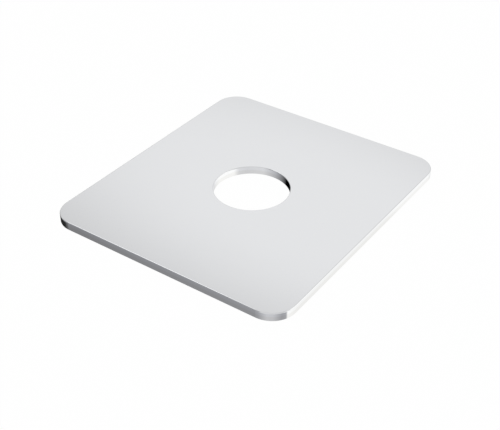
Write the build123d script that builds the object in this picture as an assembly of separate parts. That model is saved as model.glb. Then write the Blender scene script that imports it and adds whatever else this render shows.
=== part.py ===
from build123d import *

import os

# Flat rectangular cover plate for a wall outlet or a built-in valve.
# It is one solid piece of plated metal with well rounded corners and one
# round hole in the middle that the outlet's sleeve comes through.
# Millimetres, +Z towards the room. The origin is on the axis of the hole,
# on the flat back face that goes against the wall.

# Outline of the plate, seen from the front
plate_width = 160.0
plate_height = 180.0
plate_thickness = 5.2
corner_radius = 15.0

# Round hole for the sleeve
hole_diameter = 46.5

# Edges: the front ones are eased by polishing, the back ones only deburred
front_edge_radius = 0.5
hole_edge_radius = 0.35
back_edge_break = 0.15

# No edge treatment takes more than this share of the plate's thickness
largest_edge_share = 0.45


def limit_to_wall(size):
    """Keep an edge treatment within the plate's own thickness."""
    return min(size, plate_thickness * largest_edge_share)


def blank():
    """The plate before the hole is cut: a rounded rectangle on its back face."""
    outline = RectangleRounded(plate_width, plate_height, corner_radius)
    return extrude(outline, plate_thickness)


def sleeve_hole():
    """The round hole, straight through from the back face to the front."""
    return extrude(Circle(hole_diameter / 2), plate_thickness)


def front_face(plate):
    """The broad face that looks into the room."""
    return plate.faces().sort_by(Axis.Z)[-1]


def back_face(plate):
    """The broad face that goes against the wall."""
    return plate.faces().sort_by(Axis.Z)[0]


def cover_plate():
    """The finished plate: cut through, then its edges eased and deburred."""
    plate = blank() - sleeve_hole()

    outer_rim = front_face(plate).outer_wire().edges()
    plate = fillet(outer_rim, limit_to_wall(front_edge_radius))

    hole_rim = front_face(plate).inner_wires().edges()
    plate = fillet(hole_rim, limit_to_wall(hole_edge_radius))

    back_rims = back_face(plate).edges()
    return chamfer(back_rims, limit_to_wall(back_edge_break))


os.makedirs("parts", exist_ok=True)

export_step(cover_plate(), "parts/cover_plate.step")
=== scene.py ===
import math

import bmesh
import bpy
from mathutils import Matrix, Vector


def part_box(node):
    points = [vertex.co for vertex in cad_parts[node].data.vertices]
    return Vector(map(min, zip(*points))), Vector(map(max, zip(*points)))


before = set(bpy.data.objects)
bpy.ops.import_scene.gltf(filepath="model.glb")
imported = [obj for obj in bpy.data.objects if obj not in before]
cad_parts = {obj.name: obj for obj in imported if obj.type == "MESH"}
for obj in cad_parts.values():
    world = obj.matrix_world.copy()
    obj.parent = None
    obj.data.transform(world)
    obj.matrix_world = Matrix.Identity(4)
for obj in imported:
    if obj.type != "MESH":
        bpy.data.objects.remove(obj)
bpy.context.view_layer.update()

# The rectangular cover plate lies on its back on a pale table. It is one piece
# of bright plated metal, so nearly all of its look is what it mirrors: a soft
# box over its broad face, a second one that draws a bright line along its front
# edge, cards that its rounded rims mirror, and two rings of light and dark
# surroundings below the table's level.
# Metres; azimuths are in degrees, from -Y (0) round through +X (90).

low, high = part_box("cover_plate")
plate_thickness = high.z - low.z


def shades(tree, kind, inputs=None, **settings):
    """Add a node, set its settings and the values of its own sockets."""
    node = tree.nodes.new(kind)
    for name, value in settings.items():
        setattr(node, name, value)
    for name, value in (inputs or {}).items():
        node.inputs[name].default_value = value
    return node


def grey(level):
    return (level, level, level, 1.0)


def cool_grey(level):
    """A grey that leans to blue below white, and a little to warm from white on."""
    cool = 0.32 * level * (1.0 - level) ** 2 if level < 1.0 else -0.017
    return (level * (1.0 - 0.15 * cool), level, level * (1.0 + cool), 1.0)


# ---------------------------------------------------------------- the plating

plating_colour = (0.860, 0.868, 0.883, 1.0)
# Painted shade: the lower part of the rim is coloured a little darker, up to a height, for the
# shadow that its lower part mirrors.
rim_shade_colour = (0.808, 0.808, 0.808, 1.0)
rim_shade_up_to = 0.45
rim_shade_fades_by = 0.65
polish_roughness = 0.04
dullest_roughness = 0.08
haze_scale = 45.0
haze_from = 0.35
haze_to = 0.70
peel_scale = 160.0
peel_depth = 0.000002


def bright_plating():
    """Mirror-polished plating with faint polishing haze and orange peel.

    Round the rim the lower part of its edge has painted shade: its colour is a
    little darker than the upper part, standing in for the shadow it mirrors.
    """
    material = bpy.data.materials.new("bright_plating")
    material.use_nodes = True
    tree = material.node_tree
    shader = tree.nodes["Principled BSDF"]
    shader.inputs["Metallic"].default_value = 1.0

    place = shades(tree, "ShaderNodeTexCoord")

    up = shades(tree, "ShaderNodeSeparateXYZ")
    tree.links.new(place.outputs["Object"], up.inputs["Vector"])
    # Painted shade: the rim is darker below, fading to the plating colour higher up.
    rim_shade_fade = shades(tree, "ShaderNodeMapRange", {
        "From Min": low.z + rim_shade_up_to * plate_thickness,
        "From Max": low.z + rim_shade_fades_by * plate_thickness,
    }, interpolation_type="SMOOTHSTEP")
    tree.links.new(up.outputs["Z"], rim_shade_fade.inputs["Value"])
    skin = shades(tree, "ShaderNodeMix", data_type="RGBA")
    skin.inputs[6].default_value = rim_shade_colour
    skin.inputs[7].default_value = plating_colour
    tree.links.new(rim_shade_fade.outputs["Result"], skin.inputs["Factor"])
    tree.links.new(skin.outputs[2], shader.inputs["Base Color"])

    haze = shades(tree, "ShaderNodeTexNoise", {
        "Scale": haze_scale, "Detail": 4.0, "Roughness": 0.6,
    })
    tree.links.new(place.outputs["Object"], haze.inputs["Vector"])
    dulling = shades(tree, "ShaderNodeMapRange", {
        "From Min": haze_from, "From Max": haze_to,
        "To Min": polish_roughness, "To Max": dullest_roughness,
    })
    tree.links.new(haze.outputs["Fac"], dulling.inputs["Value"])
    tree.links.new(dulling.outputs["Result"], shader.inputs["Roughness"])

    peel = shades(tree, "ShaderNodeTexNoise", {"Scale": peel_scale, "Detail": 2.0})
    tree.links.new(place.outputs["Object"], peel.inputs["Vector"])
    ripple = shades(tree, "ShaderNodeBump", {"Strength": 1.0, "Distance": peel_depth})
    tree.links.new(peel.outputs["Fac"], ripple.inputs["Height"])
    tree.links.new(ripple.outputs["Normal"], shader.inputs["Normal"])
    return material


# ------------------------------------------------------------------ the studio

# Brightness of what stands round the table below its level, by azimuth. The
# upright edges mirror it. The outer edges see the lower ring from the camera's
# side, the hole's wall the upper one. Each has a black card at the left, a grey
# wall that brightens towards the front, and a white card at the right.
lower_ring = (
    (-140, 1.00),
    (-128, 0.02),
    (-66, 0.02),
    (-56, 0.14),
    (-45, 0.27),
    (-20, 0.40),
    (15, 0.65),
    (40, 0.63),
    (76, 0.40),
    (95, 0.45),
    (102, 1.12),
    (160, 1.00),
)
upper_ring = (
    (-140, 0.85),
    (-128, 0.00),
    (-92, 0.00),
    (-72, 0.20),
    (-40, 0.52),
    (0, 0.79),
    (50, 0.75),
    (74, 0.80),
    (90, 1.12),
    (150, 1.12),
    (180, 0.94),
)
ring_split = -35.0
split_softness = 0.5

# The rings end at the table's level, the cards reach a little below it, and the
# plain room is everywhere else.
cards_from = -30.0
cards_softness = 1.0
ring_top = 0.0
ring_top_softness = 3.0
overhead_level = 0.66

# Soft boxes: where they stand, half width and half height as seen from the
# plate, tilt, brightness, and how much of the box its soft rim takes
main_box = dict(azimuth=211.0, elevation=35.0, width=0.90, height=0.35, tilt=18.0,
                level=0.895, falloff=0.88)
edge_box = dict(azimuth=-92.0, elevation=57.0, width=0.40, height=0.20,
                level=1.5, falloff=0.4)

# Cards that the rounded rims mirror: grey over the left front, pale over the
# front and white at the right, each with its own brightness.
cards = (
    (0.33, dict(azimuth=-40.0, elevation=10.0, width=0.60, height=0.80, falloff=0.2)),
    (0.78, dict(azimuth=25.0, elevation=48.0, width=0.60, height=0.60, falloff=0.4)),
    (1.10, dict(azimuth=124.0, elevation=38.0, width=0.36, height=0.50, falloff=0.3)),
    (1.10, dict(azimuth=136.0, elevation=4.0, width=0.60, height=0.30, falloff=0.3)),
)


def direction(azimuth, elevation):
    """Unit vector that points from the plate to that azimuth and elevation."""
    turn, lift = math.radians(azimuth), math.radians(elevation)
    return Vector((
        math.sin(turn) * math.cos(lift),
        -math.cos(turn) * math.cos(lift),
        math.sin(lift),
    ))


def sine(degrees):
    return math.sin(math.radians(degrees))


def compass(tree, looking):
    """Azimuth as a share of a full turn, with -Y at one half."""
    turned = shades(tree, "ShaderNodeMapping", {"Rotation": (0, 0, math.radians(90))})
    tree.links.new(looking, turned.inputs["Vector"])
    sweep = shades(tree, "ShaderNodeTexGradient", gradient_type="RADIAL")
    tree.links.new(turned.outputs["Vector"], sweep.inputs["Vector"])
    return sweep.outputs["Fac"]


def ring(tree, bearing, levels):
    """Surroundings as a colour ramp round the compass."""
    ramp = shades(tree, "ShaderNodeValToRGB")
    tree.links.new(bearing, ramp.inputs["Fac"])
    stops = ramp.color_ramp.elements
    stops.remove(stops[1])
    for number, (azimuth, level) in enumerate(levels):
        place = 0.5 + azimuth / 360
        stop = stops[0] if number == 0 else stops.new(place)
        stop.position = place
        stop.color = cool_grey(level)
    return ramp.outputs["Color"]


def soft_box(tree, looking, azimuth, elevation, width, height, falloff, tilt=0.0, level=1.0):
    """Brightness of a soft box in a direction: its level in the middle, 0 outside."""
    facing = shades(tree, "ShaderNodeMapping", {
        "Location": direction(azimuth, elevation),
        "Rotation": (math.radians(-elevation), 0, math.radians(azimuth)),
    }, vector_type="TEXTURE")
    tree.links.new(looking, facing.inputs["Vector"])
    spread = shades(tree, "ShaderNodeMapping", {
        "Rotation": (0, math.radians(tilt), 0),
        "Scale": (width, 1.0, height),
    }, vector_type="TEXTURE")
    tree.links.new(facing.outputs["Vector"], spread.inputs["Vector"])
    glow = shades(tree, "ShaderNodeTexGradient", gradient_type="SPHERICAL")
    tree.links.new(spread.outputs["Vector"], glow.inputs["Vector"])
    soft = shades(tree, "ShaderNodeMapRange", {"From Max": falloff, "To Max": level},
                  interpolation_type="SMOOTHSTEP")
    tree.links.new(glow.outputs["Fac"], soft.inputs["Value"])
    return soft.outputs["Result"]


def brightest(tree, first, second):
    """The brighter of two levels."""
    pick = shades(tree, "ShaderNodeMath", operation="MAXIMUM")
    for socket, level in zip(pick.inputs, (first, second)):
        if isinstance(level, float):
            socket.default_value = level
        else:
            tree.links.new(level, socket)
    return pick.outputs["Value"]


def mixed(tree, share, first, second):
    """The first look, changed into the second one by a share from 0 to 1."""
    mix = shades(tree, "ShaderNodeMix", data_type="RGBA")
    tree.links.new(share, mix.inputs["Factor"])
    for socket, look in ((mix.inputs[6], first), (mix.inputs[7], second)):
        if isinstance(look, tuple):
            socket.default_value = look
        else:
            tree.links.new(look, socket)
    return mix.outputs[2]


def blend(tree, height, start, end, lower, upper):
    """Change smoothly from one look to another between two elevations."""
    rise = shades(tree, "ShaderNodeMapRange", {
        "From Min": sine(start), "From Max": sine(end),
    }, interpolation_type="SMOOTHSTEP")
    tree.links.new(height, rise.inputs["Value"])
    return mixed(tree, rise.outputs["Result"], lower, upper)


def studio():
    """The room that lights the table and shows in the plating."""
    world = bpy.data.worlds.new("studio")
    bpy.context.scene.world = world
    world.use_nodes = True
    tree = world.node_tree
    background = tree.nodes["Background"]

    looking = shades(tree, "ShaderNodeTexCoord").outputs["Generated"]
    split = shades(tree, "ShaderNodeSeparateXYZ")
    tree.links.new(looking, split.inputs["Vector"])
    height = split.outputs["Z"]

    boxes = brightest(tree, soft_box(tree, looking, **main_box), soft_box(tree, looking, **edge_box))
    overhead = brightest(tree, boxes, overhead_level)

    bearing = compass(tree, looking)
    rings = blend(tree, height, ring_split - split_softness, ring_split + split_softness,
                  ring(tree, bearing, lower_ring), ring(tree, bearing, upper_ring))
    dressed = blend(tree, height, ring_top - ring_top_softness, ring_top + ring_top_softness,
                    rings, overhead)
    for level, card in cards:
        dressed = mixed(tree, soft_box(tree, looking, **card), dressed, cool_grey(level))
    room = blend(tree, height, cards_from - cards_softness, cards_from + cards_softness,
                 rings, dressed)
    tree.links.new(room, background.inputs["Color"])


table_reach = 5.0
table_gap = 0.00005
table_whiteness = 0.99
table_paper = 0.85


def table():
    """The pale table. It shows white, keeps a faint shadow, and isn't mirrored."""
    mesh = bpy.data.meshes.new("table")
    top = bmesh.new()
    bmesh.ops.create_grid(top, x_segments=1, y_segments=1, size=table_reach)
    bmesh.ops.translate(top, verts=top.verts, vec=(0, 0, low.z - table_gap))
    top.to_mesh(mesh)
    top.free()
    surface = bpy.data.objects.new("table", mesh)
    bpy.context.collection.objects.link(surface)
    surface.visible_glossy = False

    material = bpy.data.materials.new("white_table")
    material.use_nodes = True
    tree = material.node_tree
    tree.nodes.clear()
    paper = shades(tree, "ShaderNodeBsdfDiffuse", {"Color": grey(table_paper)})
    white = shades(tree, "ShaderNodeEmission", {"Color": grey(1.0), "Strength": 1.0})
    rays = shades(tree, "ShaderNodeLightPath")
    share = shades(tree, "ShaderNodeMath", {1: table_whiteness}, operation="MULTIPLY")
    tree.links.new(rays.outputs["Is Camera Ray"], share.inputs[0])
    mix = shades(tree, "ShaderNodeMixShader")
    tree.links.new(share.outputs["Value"], mix.inputs["Fac"])
    tree.links.new(paper.outputs["BSDF"], mix.inputs[1])
    tree.links.new(white.outputs["Emission"], mix.inputs[2])
    output = shades(tree, "ShaderNodeOutputMaterial")
    tree.links.new(mix.outputs["Shader"], output.inputs["Surface"])
    mesh.materials.append(material)


# ------------------------------------------------------------------ the camera

camera_azimuth = 34.84
camera_elevation = 35.62
camera_roll = 0.34
camera_distance = 0.5589
aim_point = Vector((0.0153, -0.0237, plate_thickness))
lens_mm = 69.73
sensor_mm = 36.0
nearest_seen = 0.01


def camera():
    """A camera that looks down on the plate from the front right."""
    data = bpy.data.cameras.new("camera")
    data.lens = lens_mm
    data.sensor_width = sensor_mm
    data.clip_start = nearest_seen
    eye = bpy.data.objects.new("camera", data)
    bpy.context.collection.objects.link(eye)
    back = direction(camera_azimuth, camera_elevation)
    spin = Matrix.Rotation(math.radians(camera_roll), 4, "Z")
    facing = back.to_track_quat("Z", "Y").to_matrix().to_4x4()
    eye.matrix_world = Matrix.Translation(aim_point + back * camera_distance) @ facing @ spin
    bpy.context.scene.camera = eye


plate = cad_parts["cover_plate"]
plate.material_slots[0].material = bright_plating()

studio()
table()
camera()
bpy.context.scene.view_settings.view_transform = "Standard"
